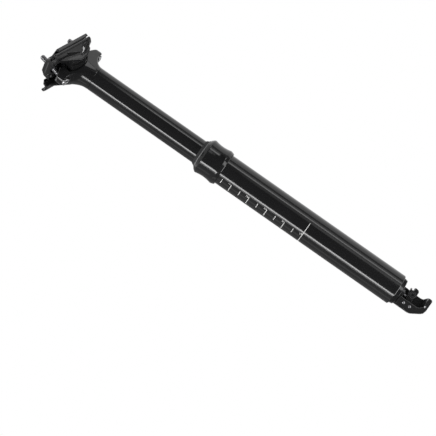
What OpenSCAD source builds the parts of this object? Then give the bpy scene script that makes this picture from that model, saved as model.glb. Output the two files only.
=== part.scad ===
// Dropper seatpost with a gas cartridge, a two-bolt saddle clamp and a cable-pulled release lever.
// The origin is on the post axis at the lower face of the collar, where the frame's seat tube ends.
// +Z runs up to the saddle, +X points forward and +Y points to the rider's left.

/* [Outer tube] */
// Outside diameter of the outer tube, the size of the frame's seat tube
outer_d = 30.9; // [30.0:0.1:31.6]
// Wall thickness of the outer tube
outer_wall = 1.65; // [1.5:0.05:1.8]
// Length of the outer tube below the collar
insert_len = 198.5; // [196:0.5:260]
// Length of the outer tube that is screwed up into the collar
collar_engage = 16; // [14:0.5:17]

/* [Collar and seals] */
// Height of the collar
collar_h = 24.5; // [23.5:0.5:30]
// Radius of the collar at its lower flange
collar_low_r = 18.1; // [17.6:0.1:19]
// Radius of the collar at its upper flange
collar_top_r = 17.95; // [17.6:0.05:19]
// Radius of the collar at its waist
collar_waist_r = 16.9; // [16.8:0.05:17.4]
// Height of the wiper seal above the collar
wiper_rise = 4.1; // [3:0.1:6]
// Length of the upper bushing
upper_bushing_len = 27; // [20:0.5:40]
// Length of the lower bushing
lower_bushing_len = 20; // [14:0.5:22]

/* [Stanchion] */
// Outside diameter of the stanchion
stanchion_d = 24; // [23.5:0.1:24.4]
// Wall thickness of the stanchion
stanchion_wall = 1.8; // [1.6:0.05:2]
// Length of the stanchion that shows above the wiper at full height
exposed_len = 119; // [117:0.5:150]
// Length of the stanchion below the collar at full height
overlap_len = 66; // [60:0.5:68]
// Travel of the post from full height to fully dropped, which sets the stroke of the cartridge
drop_travel = 115; // [100:0.5:126]
// Number of guide keys round the stanchion
key_count = 3; // [2:1:4]
// Radius of each guide key
key_r = 1.5; // [1.2:0.05:1.6]
// Length of each guide key
key_len = 12; // [8:0.5:14]

/* [Cartridge] */
// Outside radius of the cartridge body
cartridge_r = 9.5; // [9:0.1:9.8]
// Wall thickness of the cartridge body
cartridge_wall = 1.5; // [1:0.1:2]
// Radius of the cartridge rod
rod_r = 4; // [3.5:0.1:4.4]
// Radius of the valve pin inside the rod
pin_r = 1.5; // [1.2:0.05:1.8]
// Length of the piston on the rod
piston_len = 10; // [8:0.5:14]
// Length of the gland that guides the rod
gland_len = 8; // [6:0.5:12]
// Length of the gas room above the piston when the post is fully dropped
gas_room = 26; // [20:0.5:28]
// Height of the rubber bumper on the base cap
bottom_bumper_h = 4.2; // [3:0.1:4.5]

/* [Saddle clamp] */
// Height of the clamp's tilt axis above the top of the stanchion
clamp_rise = 34.4; // [33:0.1:38]
// Setback of the clamp's tilt axis behind the post axis
clamp_setback = 1.7; // [0:0.1:4]
// Tilt of the clamp, nose down
clamp_tilt = 15; // [12:0.5:18]
// Radius of the round seat under the cradle
drum_r = 19.3; // [18.8:0.1:19.8]
// Width of the head under the round seat
head_w = 24; // [23.5:0.1:24.5]
// Diameter of the saddle rails
rail_d = 7; // [6.8:0.1:7.2]
// Distance between the saddle rails
rail_spacing = 44; // [42:0.5:45]
// Depth of the rail plane below the tilt axis
rail_drop = 2.8; // [2.6:0.1:3.4]
// Gap between the cradle and the top clamp
rail_gap = 1.2; // [1:0.1:2]
// Wall thickness of the rail channels
channel_wall = 1.85; // [1.6:0.05:2.4]
// Rear end of the cradle, behind the tilt axis
cradle_rear = 24.5; // [23:0.5:28]
// Front end of the cradle, ahead of the tilt axis
cradle_front = 19.5; // [18:0.5:20]
// Rear end of the top clamp's rail wings
wing_rear = 18.6; // [17:0.1:22]
// Front end of the top clamp's rail wings
wing_front = 19.1; // [17:0.1:20]
// Height of the top clamp's bridge above the tilt axis
bridge_top = 5.8; // [5.6:0.1:7]

/* [Clamp bolts] */
// Radius of the clamp bolts
bolt_r = 2.5; // [2.4:0.05:2.6]
// Radius of the bolt heads
bolt_head_r = 4.25; // [4:0.05:4.4]
// Height of the bolt heads
bolt_head_h = 4; // [3.5:0.1:5]
// Length of the rear bolt that stands out above its barrel nut
rear_bolt_tip = 13.3; // [9:0.1:15]
// Length of the front bolt that stands out above its barrel nut
front_bolt_tip = 15.6; // [9:0.1:17]
// Radius of the barrel nuts
nut_r = 3.7; // [3.5:0.05:3.8]
// Length of the barrel nuts
nut_len = 14; // [12:0.5:15]
// Distance of the rear barrel nut behind the tilt axis
rear_nut_back = 16.7; // [16:0.1:17.5]
// Distance of the front barrel nut ahead of the tilt axis
front_nut_ahead = 23.5; // [23:0.1:25]
// Rear bolt seat, behind the post axis
rear_seat_back = 21.5; // [21:0.1:22]
// Rear bolt seat, above the top of the stanchion
rear_seat_rise = 25; // [24:0.1:25.5]
// Front bolt seat, ahead of the post axis
front_seat_ahead = 22.1; // [21.5:0.1:23]
// Front bolt seat, above the top of the stanchion
front_seat_rise = 16; // [15.5:0.1:16.5]
// Radius of the bosses round the bolts
boss_r = 7; // [6.5:0.1:7.5]

/* [Base and release] */
// Turn of the release about the post axis
release_turn = -37; // [-180:1:180]
// Length of the base cap that shows below the outer tube
cap_show = 3.9; // [3:0.1:6]
// Length of the base cap inside the outer tube
cap_plug = 10.5; // [9:0.5:11]
// Distance of the lever's pivot from the post axis
pivot_out = 4.6; // [4.4:0.1:5]
// Distance of the lever's pivot below the base cap
pivot_drop = 10.6; // [10.4:0.1:11.5]
// Radius of the lever's pivot bolt
pivot_r = 2; // [1.6:0.1:2.2]
// Radius of the lever's nose under the valve pin
nose_r = 3.2; // [3:0.1:3.3]
// Thickness of the lever
lever_t = 7; // [6:0.2:7.4]
// Width of the hook bracket
bracket_w = 12; // [11:0.2:14]
// Wall thickness of the hook bracket
bracket_wall = 2; // [1.6:0.1:2.2]
// Depth of the hook bracket below the base cap
bracket_drop = 29.6; // [29:0.2:33]
// Distance of the bracket's back wall from the post axis
bracket_back = 11.85; // [11.4:0.05:12.4]
// Radius of the seat for the cable housing
housing_r = 2.55; // [2.1:0.05:2.6]
// Distance of the cable housing's seat from the post axis
housing_out = 7.6; // [7.2:0.1:7.8]

/* [Hidden] */
$fn = 96;

// Clearances
eps = 0.01;
seat_gap = 0.02;
run_gap = 0.05;
free_gap = 0.3;

// Radii along the post axis
outer_r = outer_d / 2;
bore_r = outer_r - outer_wall;
thread_r = outer_r - 0.25;
post_r = stanchion_d / 2;
post_bore_r = post_r - stanchion_wall;
cartridge_bore_r = cartridge_r - cartridge_wall;

// Heights along the post axis
tube_top_z = collar_engage;
tube_end_z = -insert_len;
cap_top_z = tube_end_z + cap_plug;
cap_end_z = tube_end_z - cap_show;
wiper_top_z = collar_h + wiper_rise;
neck_z = wiper_top_z + exposed_len;
stanchion_end_z = -overlap_len;
foot_flange_h = 2.5;
foot_z = stanchion_end_z - foot_flange_h;
foot_plug_h = 8;
gland_z = stanchion_end_z + foot_plug_h;
bumper_h = 3;
piston_z = gland_z + gland_len + bumper_h + free_gap;
spigot_len = 25;
cartridge_crown = 4;
cartridge_top_z = piston_z + piston_len + drop_travel + gas_room + cartridge_crown;
clamp_z = neck_z + clamp_rise;
clamp_x = -clamp_setback;

// Turned end of the stanchion, which carries the lower bushing
turned_r = post_r - stanchion_wall / 3;
key_z = stanchion_end_z + lower_bushing_len + 6;
key_pitch_r = post_r + 0.6 * key_r;

// Directions of the clamp: along the rails and square to them
rail_dir = [cos(clamp_tilt), 0, -sin(clamp_tilt)];
lift_dir = [sin(clamp_tilt), 0, cos(clamp_tilt)];
clamp_at = [clamp_x, 0, clamp_z];
nut_lift = 0.6;
rear_nut_at = clamp_at - rear_nut_back * rail_dir + nut_lift * lift_dir;
front_nut_at = clamp_at + front_nut_ahead * rail_dir + nut_lift * lift_dir;
rear_seat_at = [-rear_seat_back, 0, neck_z + rear_seat_rise];
front_seat_at = [front_seat_ahead, 0, neck_z + front_seat_rise];

// Lean of a bolt from the vertical, positive where its top leans forward
function lean(from, to) = atan2(to[0] - from[0], to[2] - from[2]);
rear_lean = lean(rear_seat_at, rear_nut_at);
front_lean = lean(front_seat_at, front_nut_at);
rear_reach = norm(rear_nut_at - rear_seat_at);
front_reach = norm(front_nut_at - front_seat_at);

// Dished seats under the lobes of the head
dish_r = 9;
dish_h = 1.6;
washer_r = bolt_head_r + 0.35;

// A plate of thickness t from y upwards, with its outline in the XZ plane
module plate(y, t) {
    translate([0, y + t, 0])
        rotate([90, 0, 0])
            linear_extrude(t)
                children();
}

// A plate of full width w, centred on the XZ plane
module slab(w) {
    plate(-w / 2, w) children();
}

// A cylinder along Y, centred on the XZ plane
module cross_rod(r, w) {
    rotate([90, 0, 0])
        cylinder(r = r, h = w, center = true);
}

// A ring between two radii, from z upwards
module ring(r_in, r_out, z, h) {
    translate([0, 0, z])
        difference() {
            cylinder(r = r_out, h = h);
            translate([0, 0, -1])
                cylinder(r = r_in, h = h + 2);
        }
}

// The guide keys' places round the post
module round_keys() {
    for (i = [0 : key_count - 1])
        rotate([0, 0, 60 + i * 360 / key_count])
            translate([key_pitch_r, 0, 0])
                children();
}

// The frame of the saddle clamp: x along the rails, z square to them
module clamp_frame() {
    translate(clamp_at)
        rotate([0, clamp_tilt, 0])
            children();
}

// The frame of a bolt: z along the bolt, from its seat upwards
module bolt_frame(at, tilt) {
    translate(at)
        rotate([0, tilt, 0])
            children();
}

// The frame of the release: x towards the cable, z up from the base cap
module release_frame() {
    rotate([0, 0, release_turn])
        translate([0, 0, cap_end_z])
            children();
}

// Outer tube: bored tube with key grooves and a chamfered lower end
module outer_tube() {
    chamfer = 0.5;
    groove_top = -16;
    color([0.06, 0.06, 0.065])
        difference() {
            rotate_extrude()
                polygon([
                    [bore_r, tube_end_z], [outer_r - chamfer, tube_end_z],
                    [outer_r, tube_end_z + chamfer], [outer_r, 0], [thread_r, 0],
                    [thread_r, tube_top_z], [bore_r, tube_top_z]
                ]);
            round_keys()
                translate([0, 0, tube_end_z - 1])
                    cylinder(r = key_r + run_gap, h = groove_top - tube_end_z + 1);
        }
}

// Collar: waisted nut on the top of the outer tube, with a seat for the wiper
collar_throat_r = post_r + 0.6;
wiper_seat_r = post_r + 2.2;
wiper_seat_h = 5;
module collar() {
    low_flange_z = 3.3;
    top_flange_h = 4.3;
    top_flange_z = collar_h - top_flange_h;
    foot_in = 0.9;
    foot_h = 0.8;
    brow_in = 0.6;
    brow_h = 1.4;
    lip_wall = 1.15;
    waist_z = (low_flange_z + top_flange_z) / 2;
    half_span = (top_flange_z - low_flange_z) / 2;
    sag = (collar_low_r + collar_top_r) / 2 - collar_waist_r;
    waist_arc_r = (half_span * half_span + sag * sag) / (2 * sag);
    color([0.06, 0.06, 0.065])
        difference() {
            rotate_extrude()
                difference() {
                    polygon([
                        [thread_r + seat_gap, 0], [collar_low_r - foot_in, 0],
                        [collar_low_r - foot_in / 2, foot_h], [collar_low_r, low_flange_z],
                        [collar_top_r, top_flange_z], [collar_top_r - brow_in, top_flange_z + brow_h],
                        [wiper_seat_r + lip_wall, collar_h],
                        [wiper_seat_r, collar_h], [wiper_seat_r, collar_h - wiper_seat_h],
                        [collar_throat_r, collar_h - wiper_seat_h], [collar_throat_r, tube_top_z],
                        [thread_r + seat_gap, tube_top_z]
                    ]);
                    translate([collar_waist_r + waist_arc_r, waist_z])
                        circle(r = waist_arc_r, $fn = 360);
                }
        }
}

// Wiper seal: rubber ring in the collar's seat, with a cone and a lip against the stanchion
module wiper_seal() {
    rim_r = wiper_seat_r + 0.5;
    rim_h = 0.7;
    lip_r = post_r + run_gap;
    lip_h = 1;
    color([0.03, 0.03, 0.03])
        rotate_extrude()
            polygon([
                [collar_throat_r, collar_h - wiper_seat_h], [wiper_seat_r - seat_gap, collar_h - wiper_seat_h],
                [wiper_seat_r - seat_gap, collar_h], [rim_r, collar_h], [rim_r, collar_h + rim_h],
                [lip_r + 0.35, wiper_top_z], [lip_r, wiper_top_z], [lip_r, wiper_top_z - lip_h],
                [collar_throat_r, wiper_top_z - 2 * lip_h]
            ]);
}

// Foam ring: oiled felt between the bushing and the wiper
module foam_ring() {
    color([0.35, 0.33, 0.3])
        ring(post_r + free_gap, collar_throat_r - seat_gap, tube_top_z, collar_h - wiper_seat_h - tube_top_z);
}

// Upper bushing: split ring in the top of the outer tube
module upper_bushing() {
    color([0.3, 0.3, 0.28])
        difference() {
            ring(post_r + run_gap, bore_r - seat_gap, tube_top_z - upper_bushing_len, upper_bushing_len);
            translate([0, -0.5, tube_top_z - upper_bushing_len - 1])
                cube([bore_r + 1, 1, upper_bushing_len + 2]);
        }
}

// Base cap: plug in the lower end of the outer tube, with a tongue that carries the bracket
o_ring_r = 0.8;
o_ring_z = cap_top_z - 4.5;
rod_nut_h = 3.8;
rod_nut_r = 4.4;
rod_stub_r = 2.9;
rod_socket = 5;
tongue_face = -nose_r - free_gap;
tongue_h = 17.5;
rivet_r = 1;
rivet_in = 5.65;
rivet_out = bracket_back - rivet_in;
rivet_top_drop = 7.8;
rivet_pitch = 6.7;
rivet_drops = [rivet_top_drop, rivet_top_drop + rivet_pitch];
bracket_top = 2.1;
near_edge = -2.6;
module base_cap() {
    taper_r = 0.75;
    tongue_back = bracket_back - bracket_wall - seat_gap;
    tongue_w = bracket_w - 2 * bracket_wall - 2 * seat_gap;
    nut_room_h = 1.5;
    shoulder_h = bracket_top - 2 * seat_gap;
    color([0.07, 0.07, 0.075])
        difference() {
            union() {
                rotate_extrude()
                    polygon([
                        [0, cap_end_z], [bore_r - seat_gap - taper_r, cap_end_z],
                        [bore_r - seat_gap, tube_end_z], [bore_r - seat_gap, cap_top_z], [0, cap_top_z]
                    ]);
                release_frame()
                    translate([-tongue_back, -tongue_w / 2, -tongue_h])
                        cube([tongue_back + tongue_face, tongue_w, tongue_h + 1]);
                release_frame()
                    translate([-bracket_back, -bracket_w / 2, -shoulder_h])
                        cube([bracket_back + near_edge, bracket_w, shoulder_h + 1]);
            }
            translate([0, 0, cap_end_z - tongue_h - 1])
                cylinder(r = rod_stub_r + seat_gap, h = cap_plug + cap_show + tongue_h + 2);
            translate([0, 0, cap_top_z - rod_socket])
                cylinder(r = rod_r + seat_gap, h = rod_socket + 1);
            release_frame()
                translate([0, 0, -rod_nut_h - nut_room_h])
                    cylinder(r = rod_nut_r + free_gap, h = rod_nut_h + nut_room_h);
            ring(bore_r - 2 * o_ring_r, bore_r + 1, o_ring_z - o_ring_r, 2 * o_ring_r);
            release_frame()
                for (drop = rivet_drops)
                    translate([-rivet_out, 0, -drop])
                        cross_rod(rivet_r + seat_gap, bracket_w);
        }
}

// O-ring in the groove of the base cap
module base_o_ring() {
    color([0.03, 0.03, 0.03])
        rotate_extrude()
            translate([bore_r - o_ring_r - seat_gap, o_ring_z])
                circle(r = o_ring_r - seat_gap, $fn = 32);
}

// Bottom bumper: rubber ring on the base cap that the lower nut lands on
module bottom_bumper() {
    bumper_brim = 1.5;
    color([0.05, 0.05, 0.05])
        ring(rod_r + free_gap, post_bore_r + bumper_brim, cap_top_z, bottom_bumper_h);
}

// Cartridge rod: hollow ground rod from the base cap up to the piston
rod_end = rod_nut_h + 0.8;
pin_top_room = 4;
module cartridge_rod() {
    rod_top_z = piston_z + piston_len;
    rod_foot_z = cap_top_z - rod_socket;
    rod_end_z = cap_end_z - rod_end;
    color([0.75, 0.76, 0.78])
        difference() {
            union() {
                translate([0, 0, rod_foot_z])
                    cylinder(r = rod_r, h = rod_top_z - rod_foot_z);
                translate([0, 0, rod_end_z])
                    cylinder(r = rod_stub_r, h = rod_foot_z - rod_end_z + eps);
            }
            translate([0, 0, rod_end_z - 1])
                cylinder(r = pin_r + 2 * run_gap, h = piston_z + pin_top_room - rod_end_z + 1);
        }
}

// Piston: ring on the top of the rod
module piston() {
    groove = 1.2;
    color([0.6, 0.6, 0.62])
        difference() {
            ring(rod_r + seat_gap, cartridge_bore_r - run_gap, piston_z, piston_len);
            ring(cartridge_bore_r - groove, cartridge_r, piston_z + piston_len / 2 - groove / 2, groove);
        }
}

// Rod nut: hexagon nut that holds the rod to the base cap
module rod_nut() {
    color([0.45, 0.45, 0.47])
        release_frame()
            difference() {
                translate([0, 0, -rod_nut_h])
                    cylinder(r = rod_nut_r, h = rod_nut_h, $fn = 6);
                translate([0, 0, -rod_nut_h - 1])
                    cylinder(r = rod_stub_r + seat_gap, h = rod_nut_h + 2);
            }
}

// Hook bracket: channel with a cut-back near wall, ending in a hook that seats the cable housing
web_h = 4.4;
hook_out = 10.95;
hook_round = 0.8;
arm_out = 6.7;
arm_brow = 0.6;
arm_brow_h = 5.5;
gusset_h = 4.6;
heel_out = 0.7;
heel_mid = 4.2;
heel_back = 6.25;
heel_rise = 0.9;
heel_mid_rise = 3;
heel_back_rise = 10.7;
heel_lean = 0.75;
set_screw_r = 1;
set_screw_out = 1.9;
set_screw_drop = 1.4;
module bracket_outline() {
    web_top = bracket_drop - web_h;
    polygon([
        [-bracket_back, -bracket_top], [arm_out + arm_brow, -bracket_top],
        [arm_out + arm_brow, -bracket_top - arm_brow_h / 2], [arm_out, -bracket_top - arm_brow_h],
        [arm_out, -web_top + gusset_h], [arm_out + arm_brow, -web_top + gusset_h / 2],
        [hook_out - hook_round, -web_top], [hook_out, -web_top - hook_round],
        [hook_out - hook_round / 2, -bracket_drop + hook_round], [hook_out - 2 * hook_round, -bracket_drop],
        [-heel_out, -bracket_drop], [-heel_mid, -bracket_drop + heel_rise],
        [-heel_back, -bracket_drop + heel_mid_rise],
        [-bracket_back + heel_lean, -bracket_drop + heel_back_rise],
        [-bracket_back, -bracket_drop + heel_back_rise + bracket_wall]
    ]);
}
module hook_bracket() {
    inner_w = bracket_w - 2 * bracket_wall;
    web_top = bracket_drop - web_h;
    inner_heel = 5;
    inner_heel_h = 7.5;
    near_foot = 3;
    near_foot_h = 4;
    cable_r = 1;
    slit_w = 1.6;
    seat_depth = 3.6;
    color([0.08, 0.08, 0.085])
        release_frame()
            difference() {
                slab(bracket_w) bracket_outline();
                slab(inner_w)
                    polygon([
                        [-bracket_back + bracket_wall, 1], [hook_out + 1, 1], [hook_out + 1, -web_top],
                        [-inner_heel, -web_top], [-bracket_back + bracket_wall, -web_top + inner_heel_h]
                    ]);
                plate(-bracket_w / 2 - 1, bracket_wall + 1 + eps)
                    polygon([
                        [near_edge, 1], [hook_out + 1, 1], [hook_out + 1, -web_top],
                        [near_edge + near_foot, -web_top], [near_edge, -web_top + near_foot_h]
                    ]);
                for (drop = rivet_drops)
                    translate([-rivet_out, 0, -drop])
                        cross_rod(rivet_r + seat_gap, bracket_w + 2);
                translate([pivot_out, bracket_w / 2 - bracket_wall - 1, -pivot_drop])
                    rotate([-90, 0, 0])
                        cylinder(r = pivot_r - pivot_step + seat_gap, h = bracket_wall + 2);
                translate([housing_out, 0, -bracket_drop - 1])
                    cylinder(r = housing_r, h = seat_depth + 1);
                translate([housing_out, 0, -bracket_drop - 1])
                    cylinder(r = cable_r, h = web_h + 2);
                translate([housing_out, -slit_w / 2, -bracket_drop - 1])
                    cube([hook_out, slit_w, web_h + 2]);
                set_screw_frame()
                    translate([0, 0, -1])
                        cylinder(r = set_screw_r + seat_gap, h = set_screw_len + 1);
            }
}

// The place of the set screw in the near side of the hook, with z into the hook
set_screw_len = 4;
module set_screw_frame() {
    translate([set_screw_out, -bracket_w / 2, -bracket_drop + web_h - set_screw_drop])
        rotate([-90, 0, 0])
            children();
}

// Bracket rivets: two domed rivets through the bracket and the tongue
module bracket_rivets() {
    dome_h = 0.5;
    dome_brim = 0.35;
    dome_in = 0.5;
    dome_r = rivet_r + dome_brim;
    color([0.8, 0.8, 0.82])
        release_frame()
            for (drop = rivet_drops)
                translate([-rivet_out, 0, -drop])
                    rotate([90, 0, 0])
                        rotate_extrude($fn = 48)
                            polygon([
                                [0, -bracket_w / 2 - dome_h], [dome_r - dome_in, -bracket_w / 2 - dome_h],
                                [dome_r, -bracket_w / 2], [rivet_r, -bracket_w / 2], [rivet_r, bracket_w / 2],
                                [dome_r, bracket_w / 2], [dome_r - dome_in, bracket_w / 2 + dome_h],
                                [0, bracket_w / 2 + dome_h]
                            ]);
}

// Bracket set screw: socket screw in the near side of the hook
module bracket_set_screw() {
    socket_r = 0.6;
    socket_depth = 1;
    proud = 0.2;
    color([0.7, 0.7, 0.72])
        release_frame()
            set_screw_frame()
                difference() {
                    translate([0, 0, -proud])
                        cylinder(r = set_screw_r, h = set_screw_len - seat_gap + proud);
                    translate([0, 0, -proud - 1])
                        cylinder(r = socket_r, h = socket_depth + 1, $fn = 6);
                }
}

// Pivot bolt: shoulder screw from the near side into the far wall of the bracket
pivot_step = 0.4;
module pivot_bolt() {
    head_r = 3.3;
    head_h = 2.2;
    socket_depth = 1.6;
    far_wall = bracket_w / 2 - bracket_wall;
    head_y = lever_t / 2 + free_gap;
    socket_r = 1.7;
    color([0.3, 0.3, 0.31])
        release_frame()
            translate([pivot_out, 0, -pivot_drop])
                rotate([-90, 0, 0])
                    difference() {
                        union() {
                            translate([0, 0, -head_y - head_h])
                                cylinder(r = head_r, h = head_h);
                            translate([0, 0, -head_y - eps])
                                cylinder(r = pivot_r, h = head_y + far_wall + eps);
                            translate([0, 0, far_wall - eps])
                                cylinder(r = pivot_r - pivot_step, h = bracket_wall + eps);
                        }
                        translate([0, 0, -head_y - head_h - 1])
                            cylinder(r = socket_r, h = socket_depth + 1, $fn = 6);
                    }
}

// Stanchion: ground tube with a turned lower end and pockets for the guide keys
module stanchion() {
    turned_top_z = stanchion_end_z + lower_bushing_len;
    color([0.05, 0.05, 0.055])
        difference() {
            rotate_extrude()
                polygon([
                    [post_bore_r, stanchion_end_z], [turned_r, stanchion_end_z], [turned_r, turned_top_z],
                    [post_r, turned_top_z], [post_r, neck_z], [post_bore_r, neck_z]
                ]);
            round_keys()
                translate([0, 0, key_z])
                    cylinder(r = key_r + seat_gap, h = key_len);
        }
}

// Guide keys: brass pins that stop the stanchion from turning
module guide_keys() {
    color([0.8, 0.62, 0.25])
        round_keys()
            translate([0, 0, key_z + seat_gap])
                cylinder(r = key_r, h = key_len - 2 * seat_gap, $fn = 48);
}

// Lower bushing: split sleeve on the turned end of the stanchion
module lower_bushing() {
    color([0.3, 0.3, 0.28])
        difference() {
            ring(turned_r + seat_gap, bore_r - run_gap, stanchion_end_z, lower_bushing_len - seat_gap);
            translate([0, -0.5, stanchion_end_z - 1])
                cube([bore_r + 1, 1, lower_bushing_len + 2]);
        }
}

// Post head: forged neck with a round trough for the cradle and a lobe for each bolt
trough_r = drum_r + 0.1;
drum_back = 8.5;
tilt_room = 2.5;
head_half_w = head_w / 2;
rear_boss_x = -rear_seat_back + 0.7;
front_boss_x = front_seat_ahead - 0.1;
module post_head() {
    hole_r = bolt_r + 0.7;
    pocket_r = washer_r + free_gap;
    neck_h = clamp_rise - trough_r + 5;
    flat_in = 0.7;
    room = 60;
    color([0.07, 0.07, 0.075])
        difference() {
            union() {
                translate([0, 0, neck_z - spigot_len])
                    cylinder(r = post_bore_r - seat_gap, h = spigot_len + 1);
                translate([0, 0, neck_z])
                    cylinder(r = post_r, h = neck_h);
                rear_lobe();
                front_lobe();
            }
            intersection() {
                translate(clamp_at)
                    cross_rod(trough_r, room);
                clamp_frame()
                    translate([-drum_back - tilt_room, -room / 2, -room / 2])
                        cube(room);
            }
            for (side = [0, 180])
                rotate([0, 0, side])
                    rotate([0, 0, 90])
                        slab(room)
                            polygon([
                                [head_half_w + 0.1, neck_z], [head_half_w - flat_in, neck_z + neck_h],
                                [head_half_w + 9, neck_z + neck_h], [head_half_w + 9, neck_z]
                            ]);
            bolt_passage(rear_seat_at, rear_lean, hole_r, pocket_r);
            bolt_passage(front_seat_at, front_lean, hole_r, pocket_r);
        }
}

// Plan of a lobe: a boss at x joined to the neck by tangent flanks
module lobe_plan(x) {
    turn = asin((post_r - boss_r) / abs(x));
    toward = sign(x);
    near_x = toward * post_r * sin(turn);
    far_x = x + toward * boss_r * sin(turn);
    translate([x, 0])
        circle(r = boss_r);
    polygon([
        [0, -post_r * cos(turn)], [near_x, -post_r * cos(turn)], [far_x, -boss_r * cos(turn)],
        [far_x, boss_r * cos(turn)], [near_x, post_r * cos(turn)], [0, post_r * cos(turn)]
    ]);
}

// The flare of a lobe: a hollow sweep of radius r round the neck, starting at a given rise
module flare(r, rise) {
    reach = 40;
    translate([0, 0, neck_z])
        rotate_extrude()
            difference() {
                square([reach, reach]);
                translate([post_r + r, rise])
                    circle(r = r, $fn = 180);
                translate([post_r, 0])
                    square([reach, rise]);
            }
}

// Rear lobe: tall boss for the leaning rear bolt
module rear_lobe() {
    boss_cover = 4.5;
    top = rear_seat_rise + boss_cover;
    back = -rear_boss_x + boss_r;
    brow = 6;
    brow_h = 4;
    flare_r = 19.5;
    flare_rise = 2;
    intersection() {
        translate([0, 0, neck_z])
            linear_extrude(top)
                lobe_plan(rear_boss_x);
        slab(2 * post_r)
            polygon([
                [0, neck_z + 1], [-back - 1, neck_z + 1], [-back - 1, neck_z + top - brow_h],
                [-back + brow / 3, neck_z + top - brow_h / 4], [-back + brow, neck_z + top], [0, neck_z + top]
            ]);
        flare(flare_r, flare_rise);
    }
}

// Front lobe: boss for the front bolt, with a nose that falls away forward
module front_lobe() {
    tip = front_boss_x + boss_r;
    chin_rise = 8;
    nose_rise = 14;
    nose_under = 2;
    nose_over = 2.8;
    bridge_rise = 20.7;
    flare_r = 10;
    flare_rise = 0.5;
    intersection() {
        translate([0, 0, neck_z])
            linear_extrude(clamp_rise)
                lobe_plan(front_boss_x);
        slab(2 * post_r)
            polygon([
                [0, neck_z + flare_rise], [post_r + 2, neck_z + flare_rise], [post_r + 3, neck_z + chin_rise],
                [front_boss_x + 2, neck_z + (chin_rise + nose_rise - 3 * nose_under + nose_over) / 2],
                [tip - 1, neck_z + nose_rise - nose_under], [tip + 1, neck_z + nose_rise],
                [tip - nose_over / 2, neck_z + nose_rise + nose_over],
                [front_boss_x - nose_over, neck_z + bridge_rise], [0, neck_z + bridge_rise]
            ]);
        flare(flare_r, flare_rise);
    }
}

// Room for a bolt in its lobe: passage, pocket for the head and a dished seat for the washer
module bolt_passage(at, tilt, hole_r, pocket_r) {
    room = 30;
    bolt_frame(at, tilt) {
        translate([0, 0, -room])
            cylinder(r = hole_r, h = 2 * room);
        translate([0, 0, -room])
            cylinder(r = pocket_r, h = room - dish_h);
        intersection() {
            translate([0, 0, -dish_r])
                sphere(r = dish_r + run_gap);
            translate([0, 0, -dish_h - eps])
                cylinder(r = pocket_r, h = dish_h + 1);
        }
    }
}

// Cartridge body: gas cylinder inside the stanchion, closed at the top
module cartridge_body() {
    color([0.55, 0.56, 0.58])
        difference() {
            translate([0, 0, gland_z])
                cylinder(r = cartridge_r, h = cartridge_top_z - gland_z);
            translate([0, 0, gland_z - 1])
                cylinder(r = cartridge_bore_r, h = cartridge_top_z - gland_z + 1 - cartridge_crown);
        }
}

// Cartridge gland: seal carrier in the lower end of the cartridge
module cartridge_gland() {
    color([0.5, 0.45, 0.3])
        ring(rod_r + run_gap, cartridge_bore_r - seat_gap, gland_z, gland_len);
}

// Top-out bumper: rubber ring on the gland that the piston meets at full height
module topout_bumper() {
    color([0.05, 0.05, 0.05])
        ring(rod_r + free_gap, cartridge_bore_r - 0.6, gland_z + gland_len, bumper_h);
}

// Cartridge nut: flanged nut in the foot of the stanchion that holds the cartridge and the lower bushing
module cartridge_nut() {
    color([0.5, 0.5, 0.52])
        difference() {
            union() {
                translate([0, 0, foot_z])
                    cylinder(r = turned_r + 1.2, h = foot_flange_h);
                translate([0, 0, foot_z])
                    cylinder(r = post_bore_r - seat_gap, h = foot_flange_h + foot_plug_h);
            }
            translate([0, 0, foot_z - 1])
                cylinder(r = rod_r + free_gap, h = foot_flange_h + foot_plug_h + 2);
        }
}

// Valve pin: long pin in the rod, with a domed end on the lever's nose
pin_rest_gap = 0.1;
pin_end_z = cap_end_z - pivot_drop + nose_r + pin_rest_gap;
module valve_pin() {
    color([0.7, 0.7, 0.72])
        translate([0, 0, pin_end_z])
            cylinder(r = pin_r, h = piston_z - pin_end_z, $fn = 48);
}

// Release lever: cam with a nose under the valve pin and a forked arm with a notch for the cable end
module release_lever() {
    hub_r = 4.2;
    notch_r = 3.6;
    slit_w = 1.6;
    color([0.1, 0.1, 0.105])
        release_frame()
            translate([pivot_out, 0, -pivot_drop])
                difference() {
                    union() {
                        cross_rod(hub_r, lever_t);
                        translate([-pivot_out, 0, 0])
                            cross_rod(nose_r, lever_t);
                        translate([-pivot_out, -lever_t / 2, -nose_r])
                            cube([pivot_out, lever_t, 2 * nose_r - 0.4]);
                        slab(lever_t)
                            polygon([
                                [0, hub_r], [3.4, hub_r - 0.4], [5.1, hub_r - 0.3], [4.5, hub_r - 1.3],
                                [notch_r, hub_r - 1.3], [notch_r, 0.4], [7, 0.7], [7.15, -0.6],
                                [6.5, -3], [5, -4.1], [0, -hub_r]
                            ]);
                    }
                    cross_rod(pivot_r + run_gap, lever_t + 2);
                    translate([notch_r - 0.6, -slit_w / 2, -hub_r - 1])
                        cube([8, slit_w, hub_r + 2]);
                }
}

// Sizes that the cradle and the top clamp share
rail_r = rail_d / 2 + run_gap;
rail_y = rail_spacing / 2;
channel_r = rail_r + channel_wall;
clamp_half_w = rail_y + channel_r;
split_low = -rail_drop - rail_gap / 2;
split_high = -rail_drop + rail_gap / 2;
wall_in = rail_y - channel_r - 0.4;

// The two rail channels, along the clamp's own x
module rail_rods(r, back, ahead) {
    for (side = [-1, 1])
        translate([-back, side * rail_y, -rail_drop])
            rotate([0, 90, 0])
                cylinder(r = r, h = back + ahead);
}

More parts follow.
